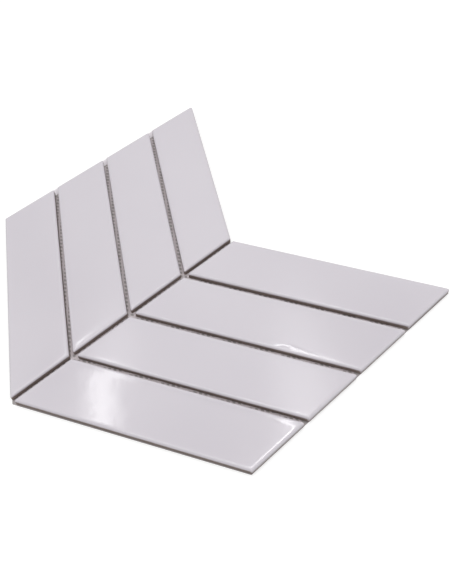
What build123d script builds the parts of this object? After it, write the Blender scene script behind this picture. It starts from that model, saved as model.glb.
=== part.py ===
"""Sheet of eight glazed ceramic tiles in a chevron, held at their joints by a fibreglass net.

The sheet lies face up. X runs across it, Y runs along the seam towards the open side of
the V, Z is up. The origin is under the middle of the sheet, at the underside of the net.
All lengths are in millimetres and all angles in degrees.
"""

import os
from math import cos, hypot, radians, sin

from build123d import *

# Tiles
tiles_per_side = 4
tile_length = 176.0  # along the long edge
tile_width = 43.4  # square across the long edges
tile_thickness = 6.0
slant = 30.0  # how far the long edges rise from X, on each side of the seam
joint = 3.4  # between neighbouring walls, at the seam and between rows
sharp_corner_radius = 2.0  # in plan, at the two 60 degree corners
blunt_corner_radius = 2.0  # in plan, at the two 120 degree corners
cushion_radius = 1.9  # glazed top edge
foot_chamfer = 0.5  # unglazed bottom edge

# Keyed back of a pressed tile
key_width = 3.5
key_pitch = 7.5
key_depth = 0.4
key_rim = 5.0  # plain border left between the keys and the walls

# Net
mesh_size = 3.9  # from crossing to crossing, along a thread
weft_angle = -34.6  # lower threads, from X
warp_angle = 39.4  # upper threads, from X: the net is pulled a little out of square
thread_width = 2.0
thread_thickness = 0.25
net_margin = 3.5  # the net stops short of the tiles' outer walls
shortest_thread = 4.0  # shorter cut ends have fallen out

# What follows from these
tile_span = tile_length * cos(radians(slant))  # across X
tile_rise = tile_length * sin(radians(slant))  # along Y, from end to end of a long edge
tile_end = tile_width / cos(radians(slant))  # the short edges, which run along Y
row_pitch = (tile_width + joint) / cos(radians(slant))  # from row to row along the seam
inner_x = joint / 2
outer_x = inner_x + tile_span
seam_length = (tiles_per_side - 1) * row_pitch + tile_end
first_row_y = -(seam_length + tile_rise) / 2
net_thickness = 2 * thread_thickness
tile_underside = net_thickness

os.makedirs("parts", exist_ok=True)


def right_tile(row):
    """One tile right of the seam, counted from the point of the V."""
    start_y = first_row_y + row * row_pitch
    centre = (inner_x + tile_span / 2, start_y + (tile_end + tile_rise) / 2)
    with BuildPart() as tile:
        with BuildSketch(Plane.XY.offset(tile_underside)) as outline:
            with BuildLine():
                Polyline(
                    (inner_x, start_y),
                    (outer_x, start_y + tile_rise),
                    (outer_x, start_y + tile_rise + tile_end),
                    (inner_x, start_y + tile_end),
                    close=True,
                )
            make_face()
            sharp_corners = outline.vertices().sort_by_distance(centre)[2:]
            fillet(sharp_corners, radius=sharp_corner_radius)
            blunt_corners = outline.vertices().sort_by_distance(centre)[:2]
            fillet(blunt_corners, radius=blunt_corner_radius)
        extrude(amount=tile_thickness)
        glazed_face = tile.faces().sort_by(Axis.Z)[-1]
        fillet(glazed_face.edges(), radius=cushion_radius)
        back_face = tile.faces().sort_by(Axis.Z)[0]
        chamfer(back_face.edges(), length=foot_chamfer)
        with BuildSketch(Plane.XY.offset(tile_underside)):
            key_count = int((tile_width - 2 * key_rim - key_width) // key_pitch) + 1
            key_length = tile_length - 2 * key_rim / cos(radians(slant))
            with Locations(centre):
                with GridLocations(1, key_pitch / cos(radians(slant)), 1, key_count):
                    SlotOverall(key_length, key_width, rotation=slant)
        extrude(amount=key_depth, mode=Mode.SUBTRACT)
    return tile


def net_layer(angle, underside):
    """Parallel threads of the net at one angle, cut off where the net ends."""
    crossing_angle = radians(warp_angle - weft_angle)
    spacing = mesh_size * sin(crossing_angle)
    reach = hypot(2 * outer_x, seam_length + tile_rise)
    thread_count = int(reach / spacing) + 1
    layer_plane = Plane.XY.offset(underside)
    with BuildPart() as layer:
        with BuildSketch(layer_plane.rotated((0, 0, angle))):
            with GridLocations(1, spacing, 1, thread_count):
                Rectangle(reach, thread_width)
        extrude(amount=thread_thickness)
        with BuildSketch(layer_plane):
            with BuildLine():
                Polyline(
                    (0, first_row_y),
                    (outer_x, first_row_y + tile_rise),
                    (outer_x, first_row_y + tile_rise + seam_length),
                    (0, first_row_y + seam_length),
                    (-outer_x, first_row_y + tile_rise + seam_length),
                    (-outer_x, first_row_y + tile_rise),
                    close=True,
                )
            make_face()
            offset(amount=-net_margin, kind=Kind.INTERSECTION)
        extrude(amount=thread_thickness, mode=Mode.INTERSECT)
    smallest = shortest_thread * thread_width * thread_thickness
    with BuildPart() as threads:
        add([thread for thread in layer.solids() if thread.volume > smallest])
    return threads


for row in range(tiles_per_side):
    right = right_tile(row)
    right.part.label = f"tile_right_{row + 1}"
    export_step(right.part, f"parts/{right.part.label}.step")
    with BuildPart() as left:
        mirror(right.part, about=Plane.YZ)
    left.part.label = f"tile_left_{row + 1}"
    export_step(left.part, f"parts/{left.part.label}.step")

net_weft = net_layer(weft_angle, 0)
net_weft.part.label = "net_weft"
export_step(net_weft.part, "parts/net_weft.step")

net_warp = net_layer(warp_angle, thread_thickness)
net_warp.part.label = "net_warp"
export_step(net_warp.part, "parts/net_warp.step")
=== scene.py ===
"""Looks of the chevron mosaic sheet: eight glazed tiles on their woven net, on a pale studio floor.

Lengths are in metres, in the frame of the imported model: X across the sheet, Y along the
seam towards the open side of the V, Z up, with the underside of the net at zero.
"""

import math
import random

import bpy
import numpy as np
from mathutils import Matrix, Vector, noise
from mathutils.geometry import tessellate_polygon


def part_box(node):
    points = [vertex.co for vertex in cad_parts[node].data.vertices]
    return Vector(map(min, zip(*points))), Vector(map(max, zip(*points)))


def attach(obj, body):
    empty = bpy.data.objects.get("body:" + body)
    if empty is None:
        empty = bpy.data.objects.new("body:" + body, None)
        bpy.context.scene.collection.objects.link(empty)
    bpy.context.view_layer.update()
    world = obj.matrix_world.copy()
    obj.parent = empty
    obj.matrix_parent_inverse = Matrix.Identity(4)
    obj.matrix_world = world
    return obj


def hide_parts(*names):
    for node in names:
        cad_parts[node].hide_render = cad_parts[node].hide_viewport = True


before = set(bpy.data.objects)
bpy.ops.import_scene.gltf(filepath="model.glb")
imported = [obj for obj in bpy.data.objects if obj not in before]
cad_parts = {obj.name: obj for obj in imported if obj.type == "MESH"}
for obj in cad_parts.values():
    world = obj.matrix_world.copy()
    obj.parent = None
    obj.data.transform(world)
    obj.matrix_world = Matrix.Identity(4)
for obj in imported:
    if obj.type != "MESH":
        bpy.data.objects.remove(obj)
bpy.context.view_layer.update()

MM = 0.001


# Sizes of the sheet, from the frame

slant = math.radians(30)
rise_per_x = math.tan(slant)
cad_corner_radius = 2.0 * MM  # of the frame's tiles, in plan
sharp_cut = cad_corner_radius * (1 / math.tan(slant) - 1)  # what a rounded sharp corner loses along Y

tile_nodes = sorted(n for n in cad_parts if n.startswith("tile_"))
tile_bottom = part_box(tile_nodes[0])[0].z
tile_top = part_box(tile_nodes[0])[1].z
net_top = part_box("net_warp")[1].z

first_low, first_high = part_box("tile_right_1")
last_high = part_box("tile_right_4")[1]
row_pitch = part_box("tile_right_2")[0].y - first_low.y
inner_x = first_low.x
outer_x = first_high.x
tile_span = outer_x - inner_x
tile_rise = tile_span * rise_per_x
tile_end = first_high.y - first_low.y + 2 * sharp_cut - tile_rise
tile_width = tile_end * math.cos(slant)
sheet_low_y = first_low.y - sharp_cut
sheet_high_y = last_high.y + sharp_cut - tile_rise


# Glazed tiles

crown_run = 8.0 * MM  # how far in from the wall the glazed face starts to fall
rim_run = 2.0 * MM  # the rounded edge proper
rim_drop = 1.8 * MM  # from the face down to the top of the wall
foot_chamfer = 0.5 * MM
foot_bulge = (0.35, 0.3)  # inset and height of the bend in the chamfer, as shares of it
corner_radius = 0.9 * MM  # of the walls, in plan
corner_softening = 0.7  # the falling rim is rounder in plan than the wall is
side_steps = {"long": 84, "short": 22}
corner_steps = 7  # on each half of a corner
crown_steps = 5
rim_steps = 12
wall_steps = 4
sharp_fold = math.radians(38)

# How each tile was laid: moved by X and Y in mm and turned by degrees
laid = {
    "tile_right_1": (0.0, 0.0, -0.08),
    "tile_right_2": (0.2, -0.1, -0.12),
    "tile_right_3": (0.05, -0.05, -0.1),
    "tile_right_4": (-0.25, -0.05, -0.1),
    "tile_left_1": (-0.2, -0.3, 0.15),
    "tile_left_2": (-0.35, -0.25, 0.1),
    "tile_left_3": (-0.3, -0.25, 0.03),
    "tile_left_4": (-0.35, -0.15, 0.02),
}

# How each tile came out of the kiln
width_growth = {"right": -0.3 * MM, "left": 0.3 * MM}
crown_drops = {
    "tile_right_1": 0.0,
    "tile_right_2": 0.02 * MM,
    "tile_right_3": 0.06 * MM,
    "tile_right_4": 0.06 * MM,
}
usual_crown_drop = 0.08 * MM  # how far a face falls towards its walls
ripple_length = 45.0 * MM
ripple_height = 0.03 * MM

# Marks of single tiles: a trough and a dip in one edge, a bead of glaze on another, a fall to
# the seam. Along a tile, -1 is its seam end and 1 its outer end. Across it, -1 is its lower
# long edge and 1 its upper one. Each pair gives places, and the values there.
trough_depth = 0.288 * MM
trough_run = 6.5 * MM
trough_along = ((-0.9, -0.7, -0.6, -0.1), (0, 1, 1, 0))
dip_along = ((0.22, 0.36), (0, 1))
dip_width = ((0.388, 0.85), (5.956 * MM, 1.0 * MM))
dip_slope = ((1 / 2, 11 / 12), (0.15, 0.05))
dip_bend = 1.0 * MM
bead_height = 0.6 * MM
bead_run = 6.5 * MM
bead_along = ((23 / 30, 14 / 15), (0.75, 1))
fall_slope = 0.037
fall_run = 5.2 * MM
fall_bend = 0.8 * MM
fall_across = ((-0.3, 0.9), (1, 0))

# Keys pressed into the back
key_width = 3.5 * MM
key_pitch = 7.5 * MM
key_depth = 0.4 * MM
key_rim = 5.0 * MM  # plain border left between the keys and the walls
key_draft = 0.5 * MM
key_count = 5
key_surround = 0.6 * MM  # flat strip round the keys that belongs to their grid
key_end_steps = 9
key_middle_steps = 12


def rounded_outline(corners, radius):
    """A closed outline round four corners. It starts in the middle of the first corner."""
    count = len(corners)
    arcs = []
    for i in range(count):
        here = corners[i]
        back = corners[i - 1] - here
        ahead = corners[(i + 1) % count] - here
        back /= np.linalg.norm(back)
        ahead /= np.linalg.norm(ahead)
        half_angle = math.acos(np.clip(back @ ahead, -1, 1)) / 2
        bisector = (back + ahead) / np.linalg.norm(back + ahead)
        centre = here + bisector * radius / math.sin(half_angle)
        start = here + back * radius / math.tan(half_angle) - centre
        end = here + ahead * radius / math.tan(half_angle) - centre
        sweep = math.atan2(start[0] * end[1] - start[1] * end[0], start @ end)
        angles = np.linspace(0, sweep, 2 * corner_steps + 1)
        turned_x = start[0] * np.cos(angles) - start[1] * np.sin(angles)
        turned_y = start[0] * np.sin(angles) + start[1] * np.cos(angles)
        arcs.append(centre + np.stack([turned_x, turned_y], axis=1))
    points = []
    for i, name in enumerate(("long", "short", "long", "short")):
        here, following = arcs[i], arcs[(i + 1) % count]
        points.extend(here[corner_steps:-1])
        share = np.linspace(0, 1, side_steps[name] + 1)[:-1, None]
        points.extend(here[-1] + (following[0] - here[-1]) * share)
        points.extend(following[:corner_steps])
    return np.array(points)


def inset_outline(start_y, inset):
    """The outline of a right-hand tile, moved in from its walls by inset."""
    lift = inset / math.cos(slant)
    low_x, high_x = inner_x + inset, outer_x - inset
    corners = np.array(
        [
            (low_x, start_y + inset * rise_per_x + lift),
            (high_x, start_y + tile_rise - inset * rise_per_x + lift),
            (high_x, start_y + tile_rise - inset * rise_per_x + tile_end - lift),
            (low_x, start_y + inset * rise_per_x + tile_end - lift),
        ]
    )
    return rounded_outline(corners, corner_radius + corner_softening * inset)


def soft_ramp(distance, bend):
    """Nothing below zero and the distance itself above it, with a rounded bend between."""
    return (np.hypot(distance, bend) + distance) / 2


def edge_dips(along, across):
    """A lower long edge that sinks in a trough near the seam and in a slope towards its outer end."""
    from_edge = (1 + across) / 2 * tile_width
    trough = np.clip(1 - from_edge / trough_run, 0, 1) * np.interp(along, *trough_along)
    onset = np.interp(along, *dip_along)
    slope = np.interp(along, *dip_slope) * onset * onset * (3 - 2 * onset)
    ramp = soft_ramp(np.interp(along, *dip_width) - from_edge, dip_bend)
    return -trough_depth * trough**2 - slope * ramp


def edge_bead(along, across):
    """Glaze gathered along the upper long edge of a face that lies a little lower for it."""
    from_edge = (1 - across) / 2 * tile_width
    share = np.clip(1 - from_edge / bead_run, 0, 1) * np.interp(along, *bead_along)
    return bead_height * (share**2 - 1 / 4)


def seam_fall(along, across):
    """A face that falls towards the seam, most of all at its lower corner."""
    from_seam = (1 + along) / 2 * tile_span
    return -fall_slope * soft_ramp(fall_run - from_seam, fall_bend) * np.interp(across, *fall_across)


marks = {"tile_right_3": edge_dips, "tile_right_1": edge_bead, "tile_left_2": seam_fall}


def face_height(points, warp):
    """How far a fired face lies above its design level, in metres. All but a bead lies below it."""
    x, y = points[:, 0] - warp["middle"][0], points[:, 1] - warp["middle"][1]
    along = x / tile_span * 2
    across = (y - x * rise_per_x) / tile_end * 2
    bow = warp["bow"] * (1 - along**2) + warp["crown"] * (1 - across**2) + warp["twist"] * along * across
    ripple = np.array([noise.noise((*p / ripple_length, warp["seed"])) for p in points])
    most = abs(warp["bow"]) + abs(warp["crown"]) + abs(warp["twist"]) + ripple_height
    height = bow + ripple_height * ripple - most
    return height + warp["mark"](along, across) if warp["mark"] else height


def edge_profile(crown_drop):
    """Insets from the wall with their heights, from the level face out to the wall's top."""
    profile = []
    for step in range(crown_steps):
        inset = crown_run + (rim_run - crown_run) * step / crown_steps
        profile.append((inset, tile_top - crown_drop * (1 - inset / crown_run) ** 2))
    for step in range(rim_steps + 1):
        turn = math.pi / 2 * step / rim_steps
        inset = rim_run * (1 - math.sin(turn))
        crown = crown_drop * (1 - inset / crown_run) ** 2
        profile.append((inset, tile_top - crown - (rim_drop - crown_drop) * (1 - math.cos(turn))))
    return profile


def grid_faces(rows, columns, first=0):
    """Quads over a grid of points that are stored row by row."""
    faces = []
    for r in range(rows - 1):
        for c in range(columns - 1):
            a = first + r * columns + c
            faces.append((a, a + 1, a + 1 + columns, a + columns))
    return faces


def coons_patch(outline):
    """A grid of points inside a closed outline of four sides."""
    long_side = side_steps["long"] + 2 * corner_steps
    short_side = side_steps["short"] + 2 * corner_steps
    closed = np.vstack([outline, outline[:1]])
    low = closed[: long_side + 1]
    right = closed[long_side : long_side + short_side + 1]
    high = closed[long_side + short_side : 2 * long_side + short_side + 1][::-1]
    left = closed[2 * long_side + short_side :][::-1]
    u = np.linspace(0, 1, long_side + 1)[None, :, None]
    v = np.linspace(0, 1, short_side + 1)[:, None, None]
    ruled = (1 - v) * low[None] + v * high[None] + (1 - u) * left[:, None] + u * right[:, None]
    low_corners = (1 - u) * (1 - v) * low[0] + u * (1 - v) * low[-1]
    high_corners = (1 - u) * v * high[0] + u * v * high[-1]
    return ruled - (low_corners + high_corners)


def patch_border(rows, columns):
    """Indices of a grid's outer points, in the order of its outline."""
    low = list(range(columns - 1))
    right = [r * columns + columns - 1 for r in range(rows - 1)]
    high = [(rows - 1) * columns + c for c in range(columns - 1, 0, -1)]
    left = [r * columns for r in range(rows - 1, 0, -1)]
    return low + right + high + left


def key_depth_at(along, across, key_length):
    """Depth of the pressed keys at points of the back, from their middle line."""
    nearest = np.clip(np.round(across / key_pitch), -(key_count // 2), key_count // 2) * key_pitch
    past_end = np.maximum(np.abs(along) - (key_length - key_width) / 2, 0)
    from_middle = np.hypot(across - nearest, past_end)
    share = np.clip((key_width / 2 - from_middle) / key_draft, 0, 1)
    return key_depth * share * share * (3 - 2 * share)


def back_grid(start_y):
    """Points of the keyed back in the sheet's plan with their depths, as a grid."""
    half = key_width / 2
    across = []
    for k in range(-(key_count // 2), key_count // 2 + 1):
        for edge in (-half, half):
            inward = -math.copysign(key_draft, edge)
            across += [k * key_pitch + edge + inward * s for s in (0, 0.33, 0.67, 1)]
        across.append(k * key_pitch)
    border = key_count // 2 * key_pitch + half + key_surround
    across = np.array(sorted(across + [-border, border]))
    key_length = (tile_span - 2 * key_rim) / math.cos(slant)
    along = (key_length - key_width) / 2 + np.linspace(0, half + key_surround, key_end_steps)
    middle = np.linspace(-along[0], along[0], key_middle_steps)[1:-1]
    along = np.concatenate([-along[::-1], middle, along])
    s, t = np.meshgrid(along, across)
    depth = key_depth_at(s, t, key_length)
    slid = s + t * math.tan(slant)  # each key is centred on a line along Y
    centre = ((inner_x + outer_x) / 2, start_y + (tile_end + tile_rise) / 2)
    x = centre[0] + slid * math.cos(slant) - t * math.sin(slant)
    y = centre[1] + slid * math.sin(slant) + t * math.cos(slant)
    return np.stack([x, y], axis=2), depth


def tile_mesh(start_y, warp):
    """Points and faces of one right-hand tile: glazed face, rim, walls and keyed back."""
    profile = edge_profile(warp["crown_drop"])
    wall_top = tile_top - rim_drop
    for step in range(1, wall_steps + 1):
        profile.append((0.0, wall_top + (tile_bottom + foot_chamfer - wall_top) * step / wall_steps))
    profile.append((foot_chamfer * foot_bulge[0], tile_bottom + foot_chamfer * foot_bulge[1]))
    profile.append((foot_chamfer, tile_bottom))

    face = coons_patch(inset_outline(start_y, crown_run))
    rows, columns = face.shape[:2]
    face = face.reshape(-1, 2)
    points = [(*p, tile_top + h) for p, h in zip(face, face_height(face, warp))]
    faces = grid_faces(rows, columns)
    ring = patch_border(rows, columns)
    for inset, z in profile[1:]:
        outline = inset_outline(start_y, inset)
        fade = max(0.0, (z - tile_bottom) / (tile_top - tile_bottom))
        first = len(points)
        points += [(*p, z + h * fade) for p, h in zip(outline, face_height(outline, warp))]
        below = list(range(first, first + len(outline)))
        for i in range(len(ring)):
            j = (i + 1) % len(ring)
            faces.append((ring[j], ring[i], below[i], below[j]))
        ring = below

    keyed, depth = back_grid(start_y)
    rows, columns = keyed.shape[:2]
    first = len(points)
    points += [(*p, tile_bottom + d) for p, d in zip(keyed.reshape(-1, 2), depth.ravel())]
    faces += [f[::-1] for f in grid_faces(rows, columns, first)]
    hole = [first + i for i in patch_border(rows, columns)]
    loops = [[Vector(points[i]) for i in ring], [Vector(points[i]) for i in reversed(hole)]]
    numbers = ring + hole[::-1]
    for a, b, c in tessellate_polygon(loops):
        corner_a, corner_b, corner_c = (Vector(points[numbers[i]]) for i in (a, b, c))
        downward = (corner_b - corner_a).cross(corner_c - corner_a).z < 0
        faces.append([numbers[i] for i in ((a, b, c) if downward else (a, c, b))])
    return np.array(points), faces


def settled(points, middle, move):
    """Points of a tile after it was laid a little out of place."""
    turn = math.radians(move[2])
    x, y = points[:, 0] - middle[0], points[:, 1] - middle[1]
    moved = points.copy()
    moved[:, 0] = middle[0] + x * math.cos(turn) - y * math.sin(turn) + move[0] * MM
    moved[:, 1] = middle[1] + x * math.sin(turn) + y * math.cos(turn) + move[1] * MM
    return moved


def add_piece(name, points, faces, material, sharp_angle):
    """A mesh piece of the sheet, riding on it."""
    mesh = bpy.data.meshes.new(name)
    mesh.from_pydata([tuple(p) for p in points], [], [tuple(f) for f in faces])
    mesh.validate()
    mesh.update()
    mesh.shade_smooth()
    mesh.set_sharp_from_angle(angle=sharp_angle)
    mesh.materials.append(material)
    piece = bpy.data.objects.new(name, mesh)
    bpy.context.scene.collection.objects.link(piece)
    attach(piece, "root")
    return piece


# Shader arithmetic

class Value:
    """A socket of a shader node that can be used in arithmetic."""

    def __init__(self, finish, socket):
        self.finish = finish
        self.socket = socket

    def _math(self, operation, *values):
        return self.finish.node("ShaderNodeMath", {"operation": operation}, *values)

    def __add__(self, other):
        return self._math("ADD", self, other)

    def __sub__(self, other):
        return self._math("SUBTRACT", self, other)

    def __rsub__(self, other):
        return self._math("SUBTRACT", other, self)

    def __mul__(self, other):
        return self._math("MULTIPLY", self, other)

    def __truediv__(self, other):
        return self._math("DIVIDE", self, other)

    def __pow__(self, other):
        return self._math("POWER", self, other)

    def between(self, low, high):
        """0 below low, 1 above high, smooth from one to the other."""
        settings = {"interpolation_type": "SMOOTHSTEP"}
        return self.finish.node("ShaderNodeMapRange", settings, self, low, high, 0.0, 1.0)

    def wave(self):
        return self._math("SINE", self)

    def size(self):
        return self._math("ABSOLUTE", self)

    def from_whole(self):
        """How far it is from the nearest whole number."""
        return self._math("PINGPONG", self, 0.5)


class Finish:
    """The nodes of a material or of the world."""

    def __init__(self, owner):
        self.owner = owner
        owner.use_nodes = True
        self.tree = owner.node_tree
        self.tree.nodes.clear()

    def node(self, kind, settings=None, *inputs, output=None, **named):
        """Adds a node. Settings are set first, then its sockets, by place or by name."""
        made = self.tree.nodes.new(kind)
        for key, value in (settings or {}).items():
            setattr(made, key, value)
        for socket, value in zip([s for s in made.inputs if s.enabled], inputs):
            self._feed(socket, value)
        for name, value in named.items():
            self._feed(made.inputs[name.replace("_", " ")], value)
        if output is None:
            return Value(self, next(s for s in made.outputs if s.enabled))
        return Value(self, made.outputs[output])

    def _feed(self, socket, value):
        if isinstance(value, Value):
            self.tree.links.new(value.socket, socket)
        elif socket.type == "RGBA":
            socket.default_value = (*value, 1.0)
        else:
            socket.default_value = value

    def place(self):
        """Where a point lies in the sheet's frame."""
        return self.node("ShaderNodeTexCoord", output="Object")

    def part(self, vector, axis):
        return self.node("ShaderNodeSeparateXYZ", None, vector, output=axis)

    def noise(self, vector, per_metre, detail=2.0, roughness=0.5):
        return self.node(
            "ShaderNodeTexNoise", None, Vector=vector, Scale=per_metre, Detail=detail, Roughness=roughness
        )

    def blend(self, share, low, high):
        """A colour between two colours."""
        return self.node("ShaderNodeMix", {"data_type": "RGBA"}, share, low, high)

    def bump(self, height, distance):
        return self.node("ShaderNodeBump", None, Height=height, Distance=distance)

    def close(self, shader, output="ShaderNodeOutputMaterial"):
        """Feeds the output, and hands back the material or the world."""
        self._feed(self.tree.nodes.new(output).inputs["Surface"], shader)
        return self.owner


# Colours, as they look in plain light

def linear(*srgb):
    """A colour given as three values of 0 to 255 on the screen."""
    return tuple(((v / 255 + 0.055) / 1.055) ** 2.4 if v > 10 else v / 255 / 12.92 for v in srgb)


glaze_colour = linear(211, 206, 212)
glaze_shade = linear(207, 202, 209)
thin_glaze = linear(160, 148, 146)
clay_colour = linear(152, 137, 131)
clay_dark = linear(126, 113, 108)
kiln_wash = linear(172, 160, 151)
yarn_colour = linear(222, 213, 216)
yarn_shade = linear(198, 189, 192)

glaze_reach = 2.1 * MM  # how far the glaze runs down the walls
end_reach = 1.9 * MM  # how much farther it runs at the outer ends
drip_length = 1.2 * MM  # how much that varies
ripple_bump = 0.06 * MM
grain_bump = 0.12 * MM
strand_bump = 0.03 * MM
strand_pitch = 0.16 * MM


def tile_finish():
    """White glaze over the face and the top of the walls, bare fired clay below and behind."""
    made = Finish(bpy.data.materials.new("glazed_tile"))
    place = made.place()
    height = made.part(place, "Z")
    drip = made.noise(place, 90.0, detail=3.0)
    outer_end = (made.part(place, "X").size() - outer_x).between(-1.6 * MM, -0.4 * MM)
    glaze_line = tile_top - glaze_reach - outer_end * end_reach + (drip - 0.5) * drip_length
    glazed = (height - glaze_line).between(-0.15 * MM, 0.25 * MM)
    thin = 1 - (height - tile_top).between(-3.0 * MM, -0.9 * MM)

    cloud = made.noise(place, 14.0)
    glaze = made.blend(cloud, glaze_colour, glaze_shade)
    glaze = made.blend(thin * 0.55, glaze, thin_glaze)

    grain = made.noise(place, 1400.0, detail=4.0, roughness=0.65)
    patch = made.noise(place, 70.0, detail=4.0)
    clay = made.blend(grain.between(0.3, 0.75), clay_dark, clay_colour)
    back = 1 - height.between(tile_bottom + 0.02 * MM, tile_bottom + 0.6 * MM)
    clay = made.blend(patch.between(0.4, 0.65) * back * 0.7, clay, kiln_wash)

    ripple = made.noise(place, 110.0, detail=1.0)
    peel = made.noise(place, 420.0)
    glaze_shader = made.node(
        "ShaderNodeBsdfPrincipled",
        None,
        Base_Color=glaze,
        Roughness=cloud * 0.03 + 0.06,
        IOR=1.5,
        Normal=made.bump(ripple * 0.8 + peel * 0.22, ripple_bump),
    )
    clay_shader = made.node(
        "ShaderNodeBsdfPrincipled",
        None,
        Base_Color=clay,
        Roughness=0.88,
        Normal=made.bump(grain, grain_bump),
    )
    return made.close(made.node("ShaderNodeMixShader", None, glazed, clay_shader, glaze_shader))


def yarn_finish(name, angle):
    """Glass yarn dipped in resin: fine filaments run along it."""
    made = Finish(bpy.data.materials.new(name))
    place = made.place()
    across = made.part(place, "X") * -math.sin(angle) + made.part(place, "Y") * math.cos(angle)
    wander = made.noise(place, 300.0)
    strand = (across * (2 * math.pi / strand_pitch) + wander * 9.0).wave() * 0.5 + 0.5
    resin = made.noise(place, 180.0, detail=3.0)
    shader = made.node(
        "ShaderNodeBsdfPrincipled",
        None,
        Base_Color=made.blend(strand * 0.45 + resin * 0.4, yarn_colour, yarn_shade),
        Roughness=resin * 0.25 + 0.4,
        IOR=1.5,
        Normal=made.bump(strand, strand_bump),
    )
    return made.close(shader)


# Woven net

mesh_size = 3.9 * MM
weft_angle = math.radians(-34.6)
warp_angle = math.radians(39.4)
net_margin = 3.5 * MM  # the net stops short of the tiles' outer walls
net_reach = 250 * MM  # from the origin, farther than the net's corners
yarn_width = 2.2 * MM
yarn_thickness = 0.22 * MM
shortest_yarn = 4.0 * MM
yarn_steps = 3  # from crossing to crossing
yarn_sides = 6
yarn_wander = 0.12 * MM  # how far a yarn strays from its straight line
wander_length = 23 * MM
swell_length = 9 * MM
yarn_fold = math.radians(60)


def spans_inside(start, direction):
    """Where a line runs inside the net's outline, as pairs of distances along it."""
    low = sheet_low_y + net_margin / math.cos(slant) - inner_x * rise_per_x
    high = sheet_high_y - net_margin / math.cos(slant) - inner_x * rise_per_x
    spans = []
    for side in (-1, 1):
        rise = side * rise_per_x
        limits = (
            (side * start[0], side * direction[0], 0.0, outer_x - net_margin),
            (start[1] - rise * start[0], direction[1] - rise * direction[0], low, high),
        )
        first, last = -net_reach, net_reach
        for value, rate, least, most in limits:
            ends = sorted(((least - value) / rate, (most - value) / rate))
            first, last = max(first, ends[0]), min(last, ends[1])
        if last > first:
            spans.append((first, last))
    spans.sort()
    if len(spans) == 2 and spans[1][0] - spans[0][1] < 1e-9:
        spans = [(spans[0][0], spans[1][1])]
    return [s for s in spans if s[1] - s[0] > shortest_yarn]


def woven_layer(angle, other_angle, over_first, seed):
    """All parallel yarns of one direction, passing over and under those of the other."""
    dice = random.Random(seed)
    direction = np.array([math.cos(angle), math.sin(angle)])
    normal = np.array([-direction[1], direction[0]])
    other_normal = np.array([-math.sin(other_angle), math.cos(other_angle)])
    spacing = mesh_size * math.sin(abs(other_angle - angle))
    swing = (net_top - yarn_thickness) / 2
    reach = int(net_reach / spacing)
    points, faces = [], []
    for number in range(-reach, reach + 1):
        start = normal * number * spacing
        for first, last in spans_inside(start, direction):
            steps = max(2, round((last - first) / mesh_size * yarn_steps))
            drift = dice.uniform(0, 2 * math.pi)
            along = np.linspace(first, last, steps + 1)
            line = start + direction * along[:, None]
            crossing = line @ other_normal / spacing
            line = line + normal * (yarn_wander * np.sin(along / wander_length + drift))[:, None]
            z = net_top / 2 + swing * np.cos(math.pi * (crossing + number)) * over_first
            swell = 0.1 * np.cos(2 * math.pi * crossing) + 0.06 * np.sin(along / swell_length + drift)
            width = yarn_width * (0.94 + swell)
            base = len(points)
            for k in range(steps + 1):
                for side in range(yarn_sides):
                    turn = 2 * math.pi * (side + 0.5) / yarn_sides
                    offset = math.cos(turn) * width[k] / 2
                    height = z[k] + math.sin(turn) * yarn_thickness / 2
                    points.append((*(line[k] + normal * offset), height))
            for k in range(steps):
                for side in range(yarn_sides):
                    a = base + k * yarn_sides + side
                    b = base + k * yarn_sides + (side + 1) % yarn_sides
                    faces.append((a, b, b + yarn_sides, a + yarn_sides))
            faces.append(tuple(base + side for side in reversed(range(yarn_sides))))
            faces.append(tuple(base + steps * yarn_sides + side for side in range(yarn_sides)))
    return points, faces


# The pieces

def build_tiles():
    finish = tile_finish()
    dice = random.Random(12)
    for row in range(len(tile_nodes) // 2):
        for side, mirror in (("right", 1), ("left", -1)):
            start_y = sheet_low_y + row * row_pitch
            node = f"tile_{side}_{row + 1}"
            middle = ((inner_x + outer_x) / 2, start_y + (tile_rise + tile_end) / 2)
            warp = {
                "middle": middle,
                "crown_drop": crown_drops.get(node, usual_crown_drop),
                "mark": marks.get(node),
                "bow": dice.uniform(-0.08, 0.06) * MM,
                "crown": dice.uniform(-0.02, 0.04) * MM,
                "twist": dice.uniform(-0.03, 0.03) * MM,
                "seed": dice.uniform(0, 50),
            }
            points, faces = tile_mesh(start_y, warp)
            offset = points[:, 1] - middle[1] - (points[:, 0] - middle[0]) * rise_per_x
            points[:, 1] += offset * width_growth[side] / tile_width
            points[:, 0] *= mirror
            points = settled(points, (middle[0] * mirror, middle[1]), laid[node])
            if mirror < 0:
                faces = [tuple(reversed(f)) for f in faces]
            tile = add_piece(f"glazed_{node}", points, faces, finish, sharp_fold)
            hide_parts(node)


def build_net():
    for node, angle, other, over in (
        ("net_weft", weft_angle, warp_angle, 1),
        ("net_warp", warp_angle, weft_angle, -1),
    ):
        points, faces = woven_layer(angle, other, over, seed=len(node))
        yarns = add_piece(f"woven_{node}", points, faces, yarn_finish(f"{node}_yarn", angle), yarn_fold)
        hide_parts(node)


# Studio

def flat_piece(name, corners, faces, height, material):
    """A level sheet of the studio, at a height that is below zero."""
    mesh = bpy.data.meshes.new(name)
    mesh.from_pydata([(*c, 0.0) for c in corners], [], faces)
    mesh.materials.append(material)
    piece = bpy.data.objects.new(name, mesh)
    piece.location.z = height
    bpy.context.scene.collection.objects.link(piece)
    return piece


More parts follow.
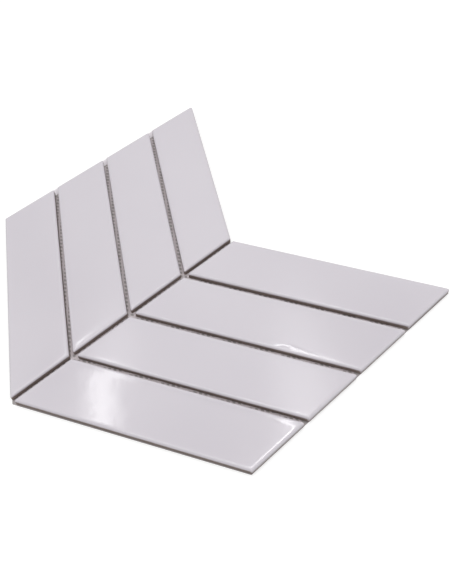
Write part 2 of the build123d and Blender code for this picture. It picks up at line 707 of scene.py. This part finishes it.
def floor_paint(made):
    """Pale paint that looks white to the camera and keeps the sheet's shadow."""
    seen = made.node("ShaderNodeLightPath", output="Is Camera Ray")
    dull = made.node("ShaderNodeBsdfDiffuse", None, Color=(0.6, 0.6, 0.6))
    bright = made.node("ShaderNodeBsdfDiffuse", None, Color=(0.5, 0.5, 0.5))
    lift = made.node("ShaderNodeEmission", None, Color=(1.0, 1.0, 1.0), Strength=0.58)
    white = made.node("ShaderNodeAddShader", None, bright, lift)
    return made.node("ShaderNodeMixShader", None, seen, dull, white)


def build_floor():
    size = 6.0
    corners = [(-size, -size), (size, -size), (size, size), (-size, size)]
    made = Finish(bpy.data.materials.new("floor_paint"))
    paint = made.close(floor_paint(made))
    floor = flat_piece("floor", corners, [(0, 1, 2, 3)], -0.1 * MM, paint)


def build_shade_card():
    """A dark card under the sheet, painted shade: its joints look onto it and not onto the lit floor."""
    back_margin = right_margin = 0.15 * MM  # inside the sheet's outline
    # at the front the card reaches past the walls, as a thin strip of painted contact shadow
    front_margin = -0.3 * MM
    left_margin = 1.6 * MM
    left_front_lift, left_back_drop = 0.2 * MM, 0.3 * MM  # the left end is cut a little shorter
    right, left = outer_x - right_margin, outer_x - left_margin
    low = sheet_low_y + front_margin / math.cos(slant) - inner_x * rise_per_x
    high = sheet_high_y - back_margin / math.cos(slant) - inner_x * rise_per_x
    corners = [
        (0, low),
        (right, low + right * rise_per_x),
        (right, high + right * rise_per_x),
        (0, high),
        (-left, high + left * rise_per_x - left_back_drop),
        (-left, low + left * rise_per_x + left_front_lift),
    ]
    made = Finish(bpy.data.materials.new("painted_shade_card"))
    # dark grey: painted shade under the sheet
    painted_shade = made.close(made.node("ShaderNodeBsdfDiffuse", None, Color=(0.42, 0.39, 0.39)))
    shade_card = flat_piece("shade_card", corners, [(0, 1, 2, 3), (0, 3, 4, 5)], -0.05 * MM, painted_shade)


def build_joint_shade():
    """Painted shade on the floor at the outer ends of the left-hand joints, where the sheet keeps light
    off it.
    """
    first_end = sheet_low_y + tile_rise + row_pitch - 0.5 * MM  # in Y, of the lowest joint
    last_end = first_end + 2 * row_pitch
    reach = 6.0 * MM
    even_beyond, even_beside = 4.0 * MM, 3.0 * MM  # how far out it goes before it fades
    under_tiles = 1.8 * MM
    low, high = first_end - reach, last_end + reach
    inside, outside = under_tiles - outer_x, -outer_x - reach
    corners = [(outside, low), (inside, low), (inside, high), (outside, high)]

    made = Finish(bpy.data.materials.new("shaded_floor"))
    place = made.place()
    beyond = made.part(place, "X") * -1.0 - outer_x
    beside = ((made.part(place, "Y") - first_end) / row_pitch).from_whole() * row_pitch
    lit = 1 - (1 - beyond.between(even_beyond, reach)) * (1 - beside.between(even_beside, reach))
    # a grey that paints the floor's shade there, fading out into the white floor paint
    shaded = made.node("ShaderNodeBsdfDiffuse", None, Color=(0.74, 0.70, 0.74))
    paint = made.close(made.node("ShaderNodeMixShader", None, lit, shaded, floor_paint(made)))
    shade = flat_piece("joint_shade", corners, [(0, 1, 2, 3)], -0.07 * MM, paint)


# Soft patches in the light around the two windows, darker than the rest where the brightness is
# below zero: X and Y of the direction, X and Y of the patch's axis, length, width, brightness
window_halos = [
    (-0.27, 0.36, -0.8, 0.6, 0.20, 0.075, 2.1),
    (-0.205, 0.318, 1.0, 0.0, 0.065, 0.062, 4.0),
    (-0.48, 0.145, 0.745, -0.667, 0.10, 0.065, 0.8),
    (-0.27, -0.06, 1.0, 0.0, 0.10, 0.10, 9.0),
    (-0.515, 0.205, 0.745, -0.667, 0.08, 0.06, 1.1),
    (-0.53, 0.10, 1.0, 0.0, 0.08, 0.08, -0.7),
    (-0.55, 0.40, 1.0, 0.0, 0.25, 0.16, 0.4),
    (-0.62, 0.17, 1.0, 0.0, 0.16, 0.09, -0.5),
    (-0.22, 0.50, 1.0, 0.0, 0.17, 0.13, -0.8),
    (-0.32, 0.21, 0.745, 0.667, 0.18, 0.09, -0.75),
]


def halo_around(air, outward, x, y, axis_x, axis_y, length, width, brightness):
    """Light that is strongest in one direction and fades around it."""
    east = air.part(outward, "X") - x
    north = air.part(outward, "Y") - y
    along = (east * axis_x + north * axis_y) / length
    across = (north * axis_x - east * axis_y) / width
    distance = (along * along + across * across) ** 0.5
    return (1 - distance.between(0.0, 1.0)) * brightness


def build_world():
    """Even light, a little stronger overhead and weaker from the front, and white air for the camera."""
    world = bpy.data.worlds.new("studio")
    bpy.context.scene.world = world
    air = Finish(world)
    outward = air.node("ShaderNodeTexCoord", output="Generated")
    overhead = air.part(outward, "Z").between(0.25, 0.85)
    front = air.part(outward, "X") * 0.2 - air.part(outward, "Y") * 0.98
    strength = overhead * 0.18 + (1 - front.between(0.1, 0.9)) * 0.12 + 0.55
    for halo in window_halos:
        strength = strength + halo_around(air, outward, *halo)
    glow = air.node("ShaderNodeBackground", None, Color=(1.0, 1.0, 1.0), Strength=strength)
    white = air.node("ShaderNodeBackground", None, Color=(1.0, 1.0, 1.0), Strength=1.0)
    seen = air.node("ShaderNodeLightPath", output="Is Camera Ray")
    air.close(air.node("ShaderNodeMixShader", None, seen, glow, white), "ShaderNodeOutputWorld")


def soft_box(name, over, bearing, elevation, size, brightness, turn=0.0, distance=3.0):
    """A rectangular lamp that faces a point of the sheet, given in mm.

    Its size is in degrees as seen from there. Bearing is from +Y towards +X. Brightness is
    that of the lamp's face, where white paper is 1.
    """
    lamp = bpy.data.lights.new(name, "AREA")
    lamp.shape = "RECTANGLE"
    lamp.size, lamp.size_y = (2 * distance * math.tan(math.radians(s / 2)) for s in size)
    lamp.energy = brightness * math.pi * lamp.size * lamp.size_y
    holder = bpy.data.objects.new(name, lamp)
    b, e = math.radians(bearing), math.radians(elevation)
    towards = Vector((math.sin(b) * math.cos(e), math.cos(b) * math.cos(e), math.sin(e)))
    holder.location = Vector((over[0] * MM, over[1] * MM, tile_top)) + towards * distance
    aim = (-towards).to_track_quat("-Z", "Y").to_matrix() @ Matrix.Rotation(math.radians(turn), 3, "Z")
    holder.rotation_euler = aim.to_euler()
    bpy.context.scene.collection.objects.link(holder)
    return holder


def window_towards(name, start, end, width, brightness):
    """A strip of light so far off that every tile sees it in the same direction.

    Its ends are the X and Y of directions. Its width is in degrees.
    """
    ends = [Vector((x, y, math.sqrt(1 - x * x - y * y))) for x, y in (start, end)]
    middle = (ends[0] + ends[1]).normalized()
    bearing = math.degrees(math.atan2(middle.x, middle.y))
    elevation = math.degrees(math.asin(middle.z))
    length = math.degrees(ends[0].angle(ends[1]))
    lamp = soft_box(name, (0, 0), bearing, elevation, (length, width), brightness, distance=20.0)
    across = (ends[1] - ends[0]).normalized()
    lamp.rotation_euler = Matrix([across, middle.cross(across), middle]).transposed().to_euler()


def build_lamps():
    """Light from overhead, a window by the nearest tile and one far off behind the left-hand tiles."""
    soft_box("top_light", (0, 0), 110, 80, (36, 36), 1.5, distance=1.3)
    soft_box("window_box", (46.6, -102), -74.6, 61.2, (1.9, 7.0), 6.4, turn=-23.5)
    soft_box("window_right", (46.6, -102), -71.4, 61.5, (0.8, 6.0), 2.6, turn=-23.5)
    soft_box("window_left", (46.6, -102), -77.4, 61.0, (1.5, 6.9), 1.8, turn=-23.5)
    soft_box("window_low_end", (80, -107), -85, 67, (2.0, 11), 2.5, turn=-23.5)
    window_towards("far_window", (-0.205, 0.08), (-0.2, 0.325), 2.7, 9.0)


def build_camera():
    """The photograph's viewpoint, in the sheet's frame."""
    camera = bpy.data.cameras.new("camera")
    camera.sensor_width = 36.0
    camera.lens = 39.72
    holder = bpy.data.objects.new("camera", camera)
    holder.location = (263.3 * MM, -164.3 * MM, 414.5 * MM)
    holder.rotation_euler = [math.radians(a) for a in (35.69, 2.10, 47.66)]
    bpy.context.scene.collection.objects.link(holder)
    bpy.context.scene.camera = holder


build_camera()
build_tiles()
build_net()
build_floor()
build_shade_card()
build_joint_shade()
build_world()
build_lamps()
bpy.context.scene.view_settings.view_transform = "Standard"
